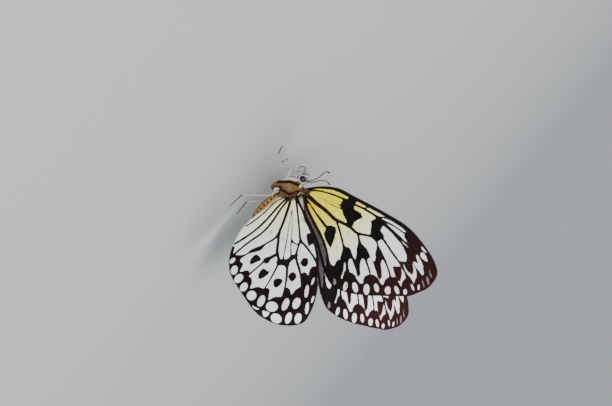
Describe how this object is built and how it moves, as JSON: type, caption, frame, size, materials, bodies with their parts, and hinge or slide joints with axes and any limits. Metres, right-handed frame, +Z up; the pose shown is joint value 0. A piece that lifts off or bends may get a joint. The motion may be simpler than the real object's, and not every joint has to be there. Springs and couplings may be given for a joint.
{
  "type": "paper kite butterfly",
  "caption": "Life-size still butterfly standing on its legs, white wings with black veins and spots, forewing bases yellow, wings half raised.",
  "frame": {"origin": "on the floor, under the middle of the overall box", "axes": "+Z up from the floor, the head points along -X, the left wings are on the -Y side"},
  "size_m": [0.0488, 0.0948, 0.0667],
  "materials": {
    "wing": "matt scales on a thin membrane, white with black veins and spots, yellow at the forewing base",
    "body_scales": "short hair and scales, tan with black and white bands",
    "eye": "dark faceted eye, smooth",
    "feeler": "dark horny tube, fine rings",
    "leg": "thin jointed leg, dark with pale scales"
  },
  "bodies": {
    "root": {"head": "body_scales", "thorax": "body_scales", "abdomen_front": "body_scales", "abdomen_middle": "body_scales", "abdomen_rear": "body_scales", "eye_left": "eye", "eye_right": "eye", "antenna_left": "feeler", "antenna_right": "feeler", "palp_left": "body_scales", "palp_right": "body_scales", "proboscis": "feeler", "forewing_left": "wing", "forewing_right": "wing", "hindwing_left": "wing", "hindwing_right": "wing", "foreleg_left": "leg", "foreleg_right": "leg", "midleg_left": "leg", "midleg_right": "leg", "hindleg_left": "leg", "hindleg_right": "leg"}
  },
  "joints": []
}
